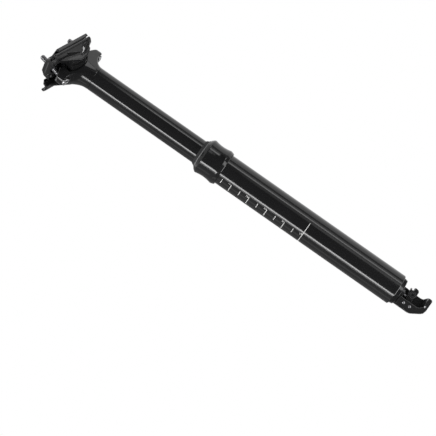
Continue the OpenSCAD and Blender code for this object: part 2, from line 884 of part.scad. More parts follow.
// Outline of the cradle's side walls: straight up to the rear end, round at the front
module cradle_wall_outline() {
    foot = split_low - 14.2;
    polygon([
        [-cradle_rear + 0.2, split_low], [-cradle_rear + 0.2, split_low - 2.2], [-0.5, foot + 0.5],
        [2, foot], [5, foot + 0.5], [8, foot + 1.4], [11, foot + 2.5], [cradle_front - 5.6, foot + 4],
        [cradle_front - 3.6, foot + 5.6], [cradle_front - 2.3, foot + 7.2], [cradle_front - 2.9, split_low]
    ]);
}

// Section of a rail channel, outside its groove, on the +Y side
module channel_section() {
    under = -rail_drop - channel_r;
    polygon([
        [wall_in, split_low], [wall_in, under], [rail_y + 1.5, under], [clamp_half_w - 0.8, under + 1.6],
        [clamp_half_w, under + 2.8], [clamp_half_w, split_low]
    ]);
}

// Lower cradle: round seat between two side walls, under the channels for the rails
module lower_cradle() {
    wall_out = rail_y - 2;
    hub_r = drum_r - 2;
    nose_drop = 14;
    nose_cut = 16;
    room = 80;
    color([0.07, 0.07, 0.075])
        clamp_frame()
            difference() {
                union() {
                    intersection() {
                        union() {
                            cross_rod(drum_r, head_w + 2 * free_gap);
                            cross_rod(hub_r, 2 * wall_in + 1);
                        }
                        translate([-drum_back, -room / 2, -room])
                            cube([drum_back + cradle_front - 2.5, room, room + split_low]);
                    }
                    for (side = [0, 1])
                        mirror([0, side, 0]) {
                            translate([-cradle_rear, 0, 0])
                                rotate([90, 0, 90])
                                    linear_extrude(cradle_rear + cradle_front)
                                        channel_section();
                            plate(wall_in, wall_out - wall_in)
                                cradle_wall_outline();
                        }
                }
                rail_rods(rail_r, room, room);
                translate([cradle_front, 0, split_low - nose_drop])
                    rotate([0, 45, 0])
                        cube([nose_cut, 2 * wall_in, nose_cut], center = true);
            }
}

// Top clamp: arched bridge over the rails, with a cross bore for a barrel nut at each end
module top_clamp() {
    wing_top = 0.6;
    bridge_half_w = nut_len / 2 + 1;
    knee_half_w = bridge_half_w + 6.5;
    knee_top = wing_top + 2.4;
    bridge_t = 3.4;
    nut_wall = 1.5;
    boss_out = nut_r + nut_wall;
    hump_end = rear_nut_back + boss_out - 0.1;
    hump_half_w = bridge_half_w + 4.5;
    hump_low = bridge_top - 7.5;
    hump_brow = bridge_top - 4.1;
    slot_r = bolt_r + 1.2;
    rail_in = rail_y - channel_r;
    dip_r = 60;
    dip = 1.2;
    room = 80;
    color([0.07, 0.07, 0.075])
        clamp_frame()
            difference() {
                union() {
                    translate([-wing_rear, 0, 0])
                        rotate([90, 0, 90])
                            linear_extrude(wing_rear + wing_front)
                                polygon([
                                    [-clamp_half_w, split_high], [-clamp_half_w, wing_top],
                                    [-knee_half_w, knee_top], [-bridge_half_w, bridge_top],
                                    [bridge_half_w, bridge_top], [knee_half_w, knee_top],
                                    [clamp_half_w, wing_top], [clamp_half_w, split_high],
                                    [rail_in, split_high], [knee_half_w - 1, knee_top - bridge_t],
                                    [bridge_half_w, bridge_top - bridge_t], [-bridge_half_w, bridge_top - bridge_t],
                                    [-knee_half_w + 1, knee_top - bridge_t], [-rail_in, split_high]
                                ]);
                    for (x = [-rear_nut_back, front_nut_ahead])
                        translate([x, 0, nut_lift])
                            cross_rod(boss_out, 2 * bridge_half_w);
                    translate([-hump_end, 0, 0])
                        rotate([90, 0, 90])
                            linear_extrude(hump_end - wing_rear + 1)
                                polygon([
                                    [-hump_half_w, hump_low], [-hump_half_w, hump_brow],
                                    [-bridge_half_w, bridge_top], [bridge_half_w, bridge_top],
                                    [hump_half_w, hump_brow], [hump_half_w, hump_low]
                                ]);
                    translate([wing_front - 3, -bridge_half_w, bridge_top - bridge_t])
                        cube([front_nut_ahead - wing_front + 3, 2 * bridge_half_w, bridge_t]);
                }
                rail_rods(rail_r, room, room);
                nut_room(-rear_nut_back, slot_r, rear_lean - clamp_tilt);
                nut_room(front_nut_ahead, slot_r, front_lean - clamp_tilt);
                translate([2, 0, bridge_top + dip_r - dip])
                    cross_rod(dip_r, room);
            }
}

// Room for a barrel nut and its bolt in the top clamp
module nut_room(x, slot_r, turn) {
    translate([x, -nut_len / 2 - run_gap, nut_lift])
        rotate([-90, 0, 0])
            cylinder(r = nut_r + run_gap, h = 2 * nut_len);
    translate([x, 0, nut_lift])
        rotate([0, turn, 0])
            cylinder(r = slot_r, h = 4 * nut_len, center = true);
}

// A clamp bolt: socket head below the seat, shank up through the barrel nut
module clamp_bolt(length) {
    socket_r = 2.3;
    under = dish_h + 1.4;
    difference() {
        union() {
            translate([0, 0, -under - bolt_head_h])
                cylinder(r = bolt_head_r, h = bolt_head_h);
            translate([0, 0, -under - eps])
                cylinder(r = bolt_r, h = under + length);
        }
        translate([0, 0, -under - bolt_head_h - 1])
            cylinder(r = socket_r, h = 3.5, $fn = 6);
    }
}

// A dished washer between a bolt head and its lobe
module dished_washer() {
    under = dish_h + 1.4;
    difference() {
        intersection() {
            translate([0, 0, -dish_r])
                sphere(r = dish_r);
            translate([0, 0, -under + seat_gap])
                cylinder(r = washer_r, h = under + 1);
        }
        translate([0, 0, -under - 1])
            cylinder(r = bolt_r + seat_gap, h = under + 3);
    }
}

// Rear bolt of the saddle clamp
module rear_bolt() {
    color([0.55, 0.55, 0.57])
        bolt_frame(rear_seat_at, rear_lean)
            clamp_bolt(rear_reach + rear_bolt_tip);
}

// Dished washer of the rear bolt
module rear_washer() {
    color([0.5, 0.5, 0.52])
        bolt_frame(rear_seat_at, rear_lean)
            dished_washer();
}

// Front bolt of the saddle clamp
module front_bolt() {
    color([0.55, 0.55, 0.57])
        bolt_frame(front_seat_at, front_lean)
            clamp_bolt(front_reach + front_bolt_tip);
}

// Dished washer of the front bolt
module front_washer() {
    color([0.5, 0.5, 0.52])
        bolt_frame(front_seat_at, front_lean)
            dished_washer();
}

// A barrel nut with its cross hole in line with its bolt
module barrel_nut(at, tilt) {
    color([0.6, 0.6, 0.62])
        translate(at)
            rotate([0, tilt, 0])
                difference() {
                    cross_rod(nut_r, nut_len);
                    translate([0, 0, -nut_r - 1])
                        cylinder(r = bolt_r + free_gap, h = 2 * nut_r + 2);
                }
}

// Rear barrel nut in the top clamp
module rear_barrel_nut() {
    barrel_nut(rear_nut_at, rear_lean);
}

// Front barrel nut in the top clamp
module front_barrel_nut() {
    barrel_nut(front_nut_at, front_lean);
}

outer_tube();
collar();
wiper_seal();
foam_ring();
upper_bushing();
base_cap();
base_o_ring();
bottom_bumper();
cartridge_rod();
piston();
rod_nut();
hook_bracket();
bracket_rivets();
bracket_set_screw();
pivot_bolt();
stanchion();
post_head();
guide_keys();
lower_bushing();
cartridge_body();
cartridge_gland();
topout_bumper();
cartridge_nut();
valve_pin();
release_lever();
lower_cradle();
top_clamp();
rear_bolt();
rear_washer();
front_bolt();
front_washer();
rear_barrel_nut();
front_barrel_nut();
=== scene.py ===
import bmesh
import bpy
import math
from mathutils import Matrix, Vector


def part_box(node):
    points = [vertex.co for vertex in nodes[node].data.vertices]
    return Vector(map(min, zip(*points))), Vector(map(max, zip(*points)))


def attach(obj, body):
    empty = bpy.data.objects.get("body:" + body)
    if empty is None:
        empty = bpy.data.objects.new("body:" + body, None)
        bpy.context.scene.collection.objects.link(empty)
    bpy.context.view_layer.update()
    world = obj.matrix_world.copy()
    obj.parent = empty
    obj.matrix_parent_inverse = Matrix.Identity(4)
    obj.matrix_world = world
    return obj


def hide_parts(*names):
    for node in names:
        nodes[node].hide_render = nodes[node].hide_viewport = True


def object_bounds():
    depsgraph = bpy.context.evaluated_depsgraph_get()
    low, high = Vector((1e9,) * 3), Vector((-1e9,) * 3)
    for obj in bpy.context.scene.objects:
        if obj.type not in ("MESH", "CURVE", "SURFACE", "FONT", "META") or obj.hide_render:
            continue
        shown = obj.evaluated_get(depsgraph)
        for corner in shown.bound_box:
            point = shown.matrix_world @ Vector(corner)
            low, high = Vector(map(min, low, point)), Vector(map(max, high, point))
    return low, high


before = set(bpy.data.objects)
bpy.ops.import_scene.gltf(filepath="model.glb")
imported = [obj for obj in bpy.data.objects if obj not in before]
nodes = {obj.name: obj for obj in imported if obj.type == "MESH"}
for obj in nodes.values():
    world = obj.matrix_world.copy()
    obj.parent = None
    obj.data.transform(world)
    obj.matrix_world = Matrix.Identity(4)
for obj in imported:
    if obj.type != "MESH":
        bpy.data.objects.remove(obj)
cad_low, cad_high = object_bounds()
scene = bpy.context.scene
scene.view_settings.view_transform = "Standard"

# Camera
# A long lens on the rider's right, a little behind the post and about level with its middle. It is
# rolled so that the post runs from the upper left of the square picture to the lower right.
picture_px = 436
lens_px = 1306.1
sensor_mm = 36
view_turn = math.radians(-37.4)
view_roll = math.radians(55.0)
view_shift = -0.0409
camera_z = -0.049
camera_distance = 1.230
aim_z = -0.0227
to_camera = Vector((math.sin(view_turn), -math.cos(view_turn), 0))
to_right = Vector((math.cos(view_turn), math.sin(view_turn), 0))
up_axis = Vector((0, 0, 1))
camera_at = view_shift * to_right + camera_z * up_axis + camera_distance * to_camera
aim_at = view_shift * to_right + aim_z * up_axis
camera_data = bpy.data.cameras.new("photo_camera")
camera_data.sensor_width = sensor_mm
camera_data.lens = sensor_mm * lens_px / picture_px
camera_data.clip_start = 0.05
camera_data.clip_end = 20
camera = bpy.data.objects.new("photo_camera", camera_data)
back = (camera_at - aim_at).normalized()
side = math.cos(view_roll) * to_right - math.sin(view_roll) * up_axis
side = (side - side.dot(back) * back).normalized()
over = back.cross(side)
camera.matrix_world = Matrix.LocRotScale(
    camera_at, Matrix((side, over, back)).transposed().to_quaternion(), None
)
scene.collection.objects.link(camera)
scene.camera = camera

# Studio
# A white room with a pale floor well below the post, which fades out at its rim. Tall softboxes with
# dark flags between them give the black tubes their bright and dark lines. Cards show only in gloss.
room_light = 0.55
floor_z = cad_low.z - 0.27
floor_r = 0.85
floor_fade_r = 0.45 * floor_r
floor_sides = 96


def named_node(tree, kind, values=None, **settings):
    """A node made in one go, with its settings and the values of its inputs."""
    node = tree.nodes.new(kind)
    for key, value in settings.items():
        setattr(node, key, value)
    for label, value in (values or {}).items():
        node.inputs[label].default_value = value
    return node


def wire(tree, *pairs):
    """Links sockets, given as (from, to)."""
    for source, target in pairs:
        tree.links.new(source, target)


def new_finish(name):
    """A new material, with its node tree and its shader."""
    material = bpy.data.materials.new(name)
    material.use_nodes = True
    tree = material.node_tree
    return material, tree, tree.nodes["Principled BSDF"]


world = bpy.data.worlds.new("white_room")
scene.world = world
world.use_nodes = True
room = world.node_tree
room.nodes.clear()
light_path = named_node(room, "ShaderNodeLightPath")
seen = named_node(room, "ShaderNodeMath", operation="MAXIMUM")
seen_or_through = named_node(room, "ShaderNodeMath", operation="MAXIMUM")
level = named_node(room, "ShaderNodeMapRange", {"To Min": room_light, "To Max": 1.0})
sky = named_node(room, "ShaderNodeBackground", {"Color": (1, 1, 1, 1)})
room_out = named_node(room, "ShaderNodeOutputWorld")
wire(
    room,
    (light_path.outputs["Is Camera Ray"], seen.inputs[0]),
    (light_path.outputs["Is Glossy Ray"], seen.inputs[1]),
    (seen.outputs[0], seen_or_through.inputs[0]),
    (light_path.outputs["Is Transmission Ray"], seen_or_through.inputs[1]),
    (seen_or_through.outputs[0], level.inputs["Value"]),
    (level.outputs["Result"], sky.inputs["Strength"]),
    (sky.outputs["Background"], room_out.inputs["Surface"]),
)

floor_rim = [2 * math.pi * i / floor_sides for i in range(floor_sides)]
floor_mesh = bpy.data.meshes.new("floor")
floor_mesh.from_pydata(
    [(floor_r * math.cos(a), floor_r * math.sin(a), floor_z) for a in floor_rim],
    [],
    [tuple(range(floor_sides))],
)
floor = bpy.data.objects.new("floor", floor_mesh)
scene.collection.objects.link(floor)
floor_paint, floor_tree, floor_shader = new_finish("floor_paint")
floor_shader.inputs["Base Color"].default_value = (0.92, 0.92, 0.92, 1)
floor_shader.inputs["Roughness"].default_value = 0.9
floor_shader.inputs["Specular IOR Level"].default_value = 0.1
floor_place = named_node(floor_tree, "ShaderNodeTexCoord")
floor_level = named_node(floor_tree, "ShaderNodeVectorMath", {1: (1, 1, 0)}, operation="MULTIPLY")
floor_reach = named_node(floor_tree, "ShaderNodeVectorMath", operation="LENGTH")
floor_fade = named_node(
    floor_tree,
    "ShaderNodeMapRange",
    {"From Min": floor_fade_r, "From Max": floor_r, "To Min": 1.0, "To Max": 0.0},
    interpolation_type="SMOOTHSTEP",
)
wire(
    floor_tree,
    (floor_place.outputs["Object"], floor_level.inputs[0]),
    (floor_level.outputs["Vector"], floor_reach.inputs[0]),
    (floor_reach.outputs["Value"], floor_fade.inputs["Value"]),
    (floor_fade.outputs["Result"], floor_shader.inputs["Alpha"]),
)
floor_mesh.materials.append(floor_paint)


def studio_direction(turn_deg):
    """Level direction from the post, turned to the right of the camera's own direction."""
    turn = math.radians(turn_deg)
    return math.cos(turn) * to_camera + math.sin(turn) * to_right


def softbox(name, turn_deg, spread_deg, brightness, low, high, distance=0.9):
    """An area light between two heights that fills an angle as seen from the post."""
    wide = 2 * distance * math.tan(math.radians(spread_deg / 2))
    tall = high - low
    data = bpy.data.lights.new(name, "AREA")
    data.shape = "RECTANGLE"
    data.size = wide
    data.size_y = tall
    data.energy = brightness * math.pi * wide * tall
    lamp = bpy.data.objects.new(name, data)
    lamp.visible_camera = False
    toward = studio_direction(turn_deg)
    centre = (low + high) / 2
    turn = Matrix((up_axis.cross(toward), up_axis, toward)).transposed()
    lamp.matrix_world = Matrix.LocRotScale(
        toward * distance + up_axis * centre, turn.to_quaternion(), None
    )
    scene.collection.objects.link(lamp)


def card(name, corners, faces, brightness):
    """A studio card that only glossy surfaces show."""
    mesh = bpy.data.meshes.new(name)
    mesh.from_pydata(corners, [], faces)
    sheet = bpy.data.objects.new(name, mesh)
    scene.collection.objects.link(sheet)
    cloth = bpy.data.materials.new(name)
    cloth.use_nodes = True
    tree = cloth.node_tree
    tree.nodes.clear()
    glow = named_node(
        tree, "ShaderNodeEmission", {"Color": (1, 1, 1, 1), "Strength": brightness}
    )
    out = named_node(tree, "ShaderNodeOutputMaterial")
    wire(tree, (glow.outputs["Emission"], out.inputs["Surface"]))
    mesh.materials.append(cloth)
    sheet.visible_camera = False
    sheet.visible_diffuse = False
    sheet.visible_transmission = False
    sheet.visible_shadow = False


def curved_card(name, from_deg, to_deg, first, last, brightness):
    """A card swept round the post between two turns, from one (distance, height) to another."""
    step_deg = 6
    steps = max(2, int(abs(to_deg - from_deg) / step_deg))
    turns = [from_deg + (to_deg - from_deg) * i / steps for i in range(steps + 1)]
    corners = []
    for distance, height in (first, last):
        corners += [studio_direction(turn) * distance + up_axis * height for turn in turns]
    count = steps + 1
    faces = [(i, i + 1, count + i + 1, count + i) for i in range(steps)]
    card(name, corners, faces, brightness)


# The bright line and the softer line along the tubes, then the clamp and the lower tube
far_box = 3.0
clamp_box = 0.35
softbox("key_softbox", turn_deg=-46, spread_deg=9, brightness=11.0, low=-0.44, high=0.59)
softbox("key_skirt", turn_deg=-56, spread_deg=4, brightness=3.0, low=-0.44, high=0.59)
softbox("side_softbox", 57.5, spread_deg=7.5, brightness=2.4, low=-1.2, high=0.46, distance=far_box)
softbox("side_skirt", 62, spread_deg=22, brightness=0.85, low=-1.5, high=0.56, distance=far_box)
softbox("clamp_softbox", 77, spread_deg=14, brightness=1.8, low=0.22, high=0.33, distance=clamp_box)
softbox("low_softbox", turn_deg=40, spread_deg=16, brightness=0.8, low=-0.48, high=-0.16)
softbox("low_skirt", turn_deg=42, spread_deg=16, brightness=0.35, low=-0.16, high=0.0)

# Upright flags round the post, cards on the floor and above, and a paler strip before a flag
flag_low, flag_high = (1.05, -0.8), (1.05, 0.8)
far_flag_low, far_flag_high = (3.3, -2.5), (3.3, 2.5)
card_z, glow_z, reflector_z = floor_z + 0.01, floor_z + 0.012, floor_z + 0.015
pool_r, card_r, ceiling_z = 0.12, 1.2, 1.3
curved_card("front_flag", -40, 50, flag_low, flag_high, brightness=0.03)
curved_card("side_flag", 50, 76, far_flag_low, far_flag_high, brightness=0.03)
curved_card("right_flag", 76, 88, flag_low, flag_high, brightness=0.25)
curved_card("left_flag", -180, -51, flag_low, flag_high, brightness=0.28)
curved_card("under_card", 0, 360, (pool_r, card_z), (card_r, card_z), brightness=0.10)
curved_card("under_light", 0, 360, (0.0, card_z), (pool_r, card_z), brightness=4.0)
curved_card("floor_reflector", 18, 44, (0.40, reflector_z), (1.05, -0.45), brightness=3.2)
curved_card("floor_glow", 48, 200, (0.14, glow_z), (0.6, glow_z), brightness=0.85)
curved_card("ceiling_card", 0, 360, (0.0, ceiling_z), (card_r, ceiling_z), brightness=0.60)
curved_card("left_glow", -98, -85, (1.0, -0.8), (1.0, 0.25), brightness=0.6)

# Outer tube
# Drawn aluminium tube that slides into the frame's seat tube, polished and anodised gloss black.
# Faint drawing lines run round it, its foot is chamfered, and its top is threaded for the collar.
mm = 0.001
tube_low, tube_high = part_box("outer_tube")
tube_r = tube_high.x / mm
tube_foot_z = tube_low.z / mm
tube_top_z = tube_high.z / mm
tube_bore_r = 13.8
tube_thread_r = 15.2
tube_shoulder_z = 0.3
tube_chamfer = 0.55
anodised = (0.009, 0.009, 0.0095)
anodised_smudge = (0.013, 0.013, 0.0135)


def new_group(name, inputs, outputs):
    """An empty shader node group with float inputs, and outputs given as (name, kind)."""
    group = bpy.data.node_groups.new(name, "ShaderNodeTree")
    for label, value in inputs:
        socket = group.interface.new_socket(label, in_out="INPUT", socket_type="NodeSocketFloat")
        socket.default_value = value
    for label, kind in outputs:
        group.interface.new_socket(label, in_out="OUTPUT", socket_type=kind)
    return group, group.nodes.new("NodeGroupInput"), group.nodes.new("NodeGroupOutput")


soft_edge, edge_in, edge_out = new_group(
    "soft_edge", [("Radius", 0.0003)], [("Normal", "NodeSocketVector"), ("Edge", "NodeSocketFloat")]
)
edge_round = named_node(soft_edge, "ShaderNodeBevel", samples=6)
edge_true = named_node(soft_edge, "ShaderNodeNewGeometry")
edge_dot = named_node(soft_edge, "ShaderNodeVectorMath", operation="DOT_PRODUCT")
edge_mask = named_node(soft_edge, "ShaderNodeMapRange", {"From Min": 0.995, "From Max": 0.85})
wire(
    soft_edge,
    (edge_in.outputs["Radius"], edge_round.inputs["Radius"]),
    (edge_round.outputs["Normal"], edge_dot.inputs[0]),
    (edge_true.outputs["Normal"], edge_dot.inputs[1]),
    (edge_dot.outputs["Value"], edge_mask.inputs["Value"]),
    (edge_round.outputs["Normal"], edge_out.inputs["Normal"]),
    (edge_mask.outputs["Result"], edge_out.inputs["Edge"]),
)

lathe_lines, lathe_in, lathe_out = new_group(
    "lathe_lines", [("Pitch", 0.0004)], [("Height", "NodeSocketFloat"), ("Tone", "NodeSocketFloat")]
)
lathe_place = named_node(lathe_lines, "ShaderNodeTexCoord")
lathe_rate = named_node(lathe_lines, "ShaderNodeMath", {0: 1.0}, operation="DIVIDE")
lathe_stretch = named_node(lathe_lines, "ShaderNodeCombineXYZ", {"X": 40, "Y": 40})
lathe_scale = named_node(lathe_lines, "ShaderNodeVectorMath", operation="MULTIPLY")
lathe_noise = named_node(lathe_lines, "ShaderNodeTexNoise", {"Scale": 1.0, "Detail": 3.0})
lathe_smudge = named_node(lathe_lines, "ShaderNodeTexNoise", {"Scale": 45.0, "Detail": 2.0})
wire(
    lathe_lines,
    (lathe_in.outputs["Pitch"], lathe_rate.inputs[1]),
    (lathe_rate.outputs[0], lathe_stretch.inputs["Z"]),
    (lathe_place.outputs["Object"], lathe_scale.inputs[0]),
    (lathe_stretch.outputs["Vector"], lathe_scale.inputs[1]),
    (lathe_scale.outputs["Vector"], lathe_noise.inputs["Vector"]),
    (lathe_place.outputs["Object"], lathe_smudge.inputs["Vector"]),
    (lathe_noise.outputs["Fac"], lathe_out.inputs["Height"]),
    (lathe_smudge.outputs["Fac"], lathe_out.inputs["Tone"]),
)


def place_group(tree, group, **values):
    """A node group placed in a material with its own values."""
    return named_node(tree, "ShaderNodeGroup", values, node_tree=group)


def ranged(tree, source, low, high):
    """A value from 0 to 1 mapped to a range."""
    node = named_node(tree, "ShaderNodeMapRange", {"To Min": low, "To Max": high})
    wire(tree, (source, node.inputs["Value"]))
    return node.outputs["Result"]


def mixed_colour(tree, mask, low, high):
    """A colour that goes from low to high with a mask. Each is a plain colour or a socket."""
    factor, colour_a, colour_b, result = 0, 6, 7, 2
    node = named_node(tree, "ShaderNodeMix", data_type="RGBA")
    wire(tree, (mask, node.inputs[factor]))
    for index, colour in ((colour_a, low), (colour_b, high)):
        if isinstance(colour, bpy.types.NodeSocket):
            wire(tree, (colour, node.inputs[index]))
        else:
            node.inputs[index].default_value = (*colour, 1)
    return node.outputs[result]


def turned_metal(name, colour, wear_and_sheen, gloss, metallic=0.0, pitch=0.0004, depth=0.000002, edge=0.0003):
    """A turned or drawn surface: fine lines round the axis, and soft edges with a little rubbing.
    With no edge, the second colour is a faint smudge."""
    material, tree, shader = new_finish(name)
    shader.inputs["Metallic"].default_value = metallic
    lines = place_group(tree, lathe_lines, Pitch=pitch)
    bump = named_node(tree, "ShaderNodeBump", {"Strength": 0.6, "Distance": depth})
    wear = lines.outputs["Tone"]
    if edge:
        edges = place_group(tree, soft_edge, Radius=edge)
        wire(tree, (edges.outputs["Normal"], bump.inputs["Normal"]))
        wear = edges.outputs["Edge"]
    wire(
        tree,
        (lines.outputs["Height"], bump.inputs["Height"]),
        (bump.outputs["Normal"], shader.inputs["Normal"]),
        (ranged(tree, lines.outputs["Tone"], *gloss), shader.inputs["Roughness"]),
        (mixed_colour(tree, wear, colour, wear_and_sheen), shader.inputs["Base Color"]),
    )
    return material


def eased(corners, steps=5):
    """A closed outline from corners given as (radius, height, easing), in millimetres."""
    points = []
    for i, (radius, height, ease) in enumerate(corners):
        here = Vector((radius, height))
        before = Vector(corners[i - 1][:2]) - here
        after = Vector(corners[(i + 1) % len(corners)][:2]) - here
        cut = min(ease, 0.49 * before.length, 0.49 * after.length)
        if cut == 0:
            points.append(here)
            continue
        start = here + before.normalized() * cut
        end = here + after.normalized() * cut
        for k in range(steps + 1):
            t = k / steps
            points.append((1 - t) ** 2 * start + 2 * t * (1 - t) * here + t * t * end)
    return points


def finished(name, work, sharp_deg=35):
    """An object from a bmesh, smooth but for its sharp edges."""
    bmesh.ops.remove_doubles(work, verts=work.verts, dist=1e-7)
    bmesh.ops.recalc_face_normals(work, faces=work.faces)
    mesh = bpy.data.meshes.new(name)
    work.to_mesh(mesh)
    work.free()
    mesh.shade_smooth()
    mesh.set_sharp_from_angle(angle=math.radians(sharp_deg))
    piece = bpy.data.objects.new(name, mesh)
    scene.collection.objects.link(piece)
    return piece


def turned(name, outline, sides=128):
    """A piece turned about the post axis from a closed outline in millimetres."""
    work = bmesh.new()
    rings = []
    for i in range(sides):
        turn = 2 * math.pi * i / sides
        ring = []
        for p in outline:
            spot = (p.x * mm * math.cos(turn), p.x * mm * math.sin(turn), p.y * mm)
            ring.append(work.verts.new(spot))
        rings.append(ring)
    count = len(outline)
    for left, right in zip(rings, rings[1:] + rings[:1]):
        for k in range(count):
            n = (k + 1) % count
            work.faces.new((left[k], right[k], right[n], left[n]))
    return finished(name, work)


gloss_black = turned_metal(
    "gloss_black", anodised, anodised_smudge, (0.09, 0.14), depth=0.0000004, edge=0
)
tube_outline = eased(
    [(tube_bore_r, tube_foot_z, 0.3), (tube_r - tube_chamfer, tube_foot_z, 0.05)]
    + [(tube_r, tube_foot_z + tube_chamfer, 0.08), (tube_r, tube_shoulder_z, 0)]
    + [(tube_thread_r, tube_shoulder_z, 0), (tube_thread_r, tube_top_z, 0)]
    + [(tube_bore_r, tube_top_z, 0)]
)
tube_piece = turned("outer_tube_drawn", tube_outline, sides=192)
tube_piece.data.materials.append(gloss_black)
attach(tube_piece, "lower_tube")
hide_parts("outer_tube")

# Graduations
# White scale printed on the rear of the outer tube for setting how deep it sits: short and long
# marks by turns, plain counting numerals at the long ones, and a long line for the least depth.
print_r = tube_r * mm
print_t = 0.00004
mark_h = 0.00055
mark_count = 9
mark_end = -34.5
short_turn = 20.5
long_turn = 37
first_mark = 0.0057
mark_pitch = 0.01006
least_z = -0.0962
least_from, least_to = -121.5, 16.5
numeral_from = mark_end - 3
numeral_cell = 0.0006
numeral_line = 0.00032
scale_mesh = bmesh.new()


def printed(from_deg, to_deg, low, high):
    """A thin patch of print on the tube between two turns and two heights."""
    step_deg = 3
    steps = max(1, math.ceil((to_deg - from_deg) / step_deg))
    columns = []
    for i in range(steps + 1):
        out = studio_direction(from_deg + (to_deg - from_deg) * i / steps)
        corners = ((-print_t, low), (print_t, low), (print_t, high), (-print_t, high))
        columns.append(
            [scale_mesh.verts.new(out * (print_r + rise) + up_axis * z) for rise, z in corners]
        )
    for left, right in zip(columns, columns[1:]):
        for k in range(4):
            n = (k + 1) % 4
            scale_mesh.faces.new((left[k], right[k], right[n], left[n]))
    scale_mesh.faces.new(columns[0])
    scale_mesh.faces.new(columns[-1][::-1])


def numeral(strokes, low):
    """A plain numeral of level and upright strokes on a grid two wide and four high."""
    turn = math.degrees(numeral_cell / print_r)
    half_turn = math.degrees(numeral_line / 2 / print_r)
    for x0, z0, x1, z1 in strokes:
        printed(
            numeral_from + turn * min(x0, x1) - half_turn,
            numeral_from + turn * max(x0, x1) + half_turn,
            low + numeral_cell * min(z0, z1) - numeral_line / 2,
            low + numeral_cell * max(z0, z1) + numeral_line / 2,
        )


numerals = [
    [(1, 0, 1, 4)],
    [(0, 4, 2, 4), (2, 2, 2, 4), (0, 2, 2, 2), (0, 0, 0, 2), (0, 0, 2, 0)],
    [(0, 4, 2, 4), (2, 0, 2, 4), (0, 2, 2, 2), (0, 0, 2, 0)],
    [(0, 2, 0, 4), (0, 2, 2, 2), (2, 0, 2, 4)],
    [(0, 4, 2, 4), (0, 2, 0, 4), (0, 2, 2, 2), (2, 0, 2, 2), (0, 0, 2, 0)],
]
for count in range(mark_count):
    mark_z = -first_mark - mark_pitch * count
    turn = long_turn if count % 2 else short_turn
    printed(mark_end - turn, mark_end, mark_z - mark_h / 2, mark_z + mark_h / 2)
    if count % 2:
        numeral(numerals[count // 2], mark_z + mark_h)
printed(least_from, least_to, least_z - mark_h / 2, least_z + mark_h / 2)
numeral(numerals[-1], least_z + mark_h)
bmesh.ops.recalc_face_normals(scale_mesh, faces=scale_mesh.faces)
graduations_mesh = bpy.data.meshes.new("graduations")
scale_mesh.to_mesh(graduations_mesh)
scale_mesh.free()
graduations = bpy.data.objects.new("graduations", graduations_mesh)
scene.collection.objects.link(graduations)
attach(graduations, "lower_tube")
scale_white, scale_tree, scale_shader = new_finish("scale_white")
scale_place = named_node(scale_tree, "ShaderNodeTexCoord")
scale_noise = named_node(scale_tree, "ShaderNodeTexNoise", {"Scale": 2500.0})
scale_speck = scale_noise.outputs["Fac"]
scale_colour = mixed_colour(scale_tree, scale_speck, (0.60, 0.60, 0.59), (0.75, 0.75, 0.74))
wire(
    scale_tree,
    (scale_place.outputs["Object"], scale_noise.inputs["Vector"]),
    (scale_colour, scale_shader.inputs["Base Color"]),
    (ranged(scale_tree, scale_speck, 0.45, 0.65), scale_shader.inputs["Roughness"]),
)
graduations_mesh.materials.append(scale_white)

# Collar
# Waisted nut screwed on the top of the outer tube, turned from aluminium and anodised like it.
# Its two flanges, the lower one a cone, give the grip for screwing it off.
collar_fit = 0.02
collar_foot_r, collar_foot_z = 17.12, -1.2
collar_chamfer = 0.62
flange_r, flange_z = 18.12, 3.0
flange_slope = 0.308
waist_r, waist_z = 16.98, 11.55
waist_half_h, waist_flare = 8.6, 1.12
shoulder_r, shoulder_z = 18.1, 20.2
crown_r, crown_z = 17.5, 21.5
brow_r, brow_z = 15.65, 23.55
mouth_r, mouth_z, mouth_wall = 14.2, 23.7, 0.7
throat_r, throat_z = 12.6, 19.5
cone_z = collar_foot_z + collar_chamfer
flange = [(collar_foot_r + flange_slope * (z - cone_z), z, 0.2) for z in (-0.4, 0.1, 0.8, 1.5, 2.1)]
waist = [(waist_r + ((z - waist_z) / waist_half_h) ** 2 * waist_flare, z, 0.5) for z in range(4, 20)]
collar_outline = eased(
    [(tube_r + collar_fit, collar_foot_z, 0.1), (collar_foot_r - collar_chamfer, collar_foot_z, 0.08)]
    + [(collar_foot_r, cone_z, 0.08)]
    + flange
    + [(flange_r, flange_z, 0.5)]
    + waist
    + [(shoulder_r, shoulder_z, 1.1), (crown_r, crown_z, 0.7), (brow_r, brow_z, 0.2)]
    + [(mouth_r + mouth_wall, mouth_z, 0.1), (mouth_r, mouth_z, 0.05), (mouth_r, throat_z, 0)]
    + [(throat_r, throat_z, 0), (throat_r, tube_top_z, 0), (tube_thread_r + collar_fit, tube_top_z, 0)]
    + [(tube_thread_r + collar_fit, tube_shoulder_z, 0), (tube_r + collar_fit, tube_shoulder_z, 0)]
)
collar_piece = turned("collar_turned", collar_outline)
collar_piece.data.materials.append(gloss_black)
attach(collar_piece, "lower_tube")
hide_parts("collar")

# Seals
# Rubber wiper in the collar's mouth with its rim painted pale, partly rubbing and partly a painted
# highlight, O-ring and bumpers, all moulded and dull. A foam ring, soft as felt, sits under the wiper
# and keeps oil on the stanchion.
wiper_rim_r, wiper_rim_z = 14.72, 24.35
wiper_lip_r, wiper_top_z = 12.05, 27.5
wiper_slope = [(13.9, 24.8, 0.15), (13.2, 26.0, 0.4), (12.5, 27.3, 0.3)]
highlight_rim_r = 14.0
seal_grain = 0.0005
seal_depth = 0.00002


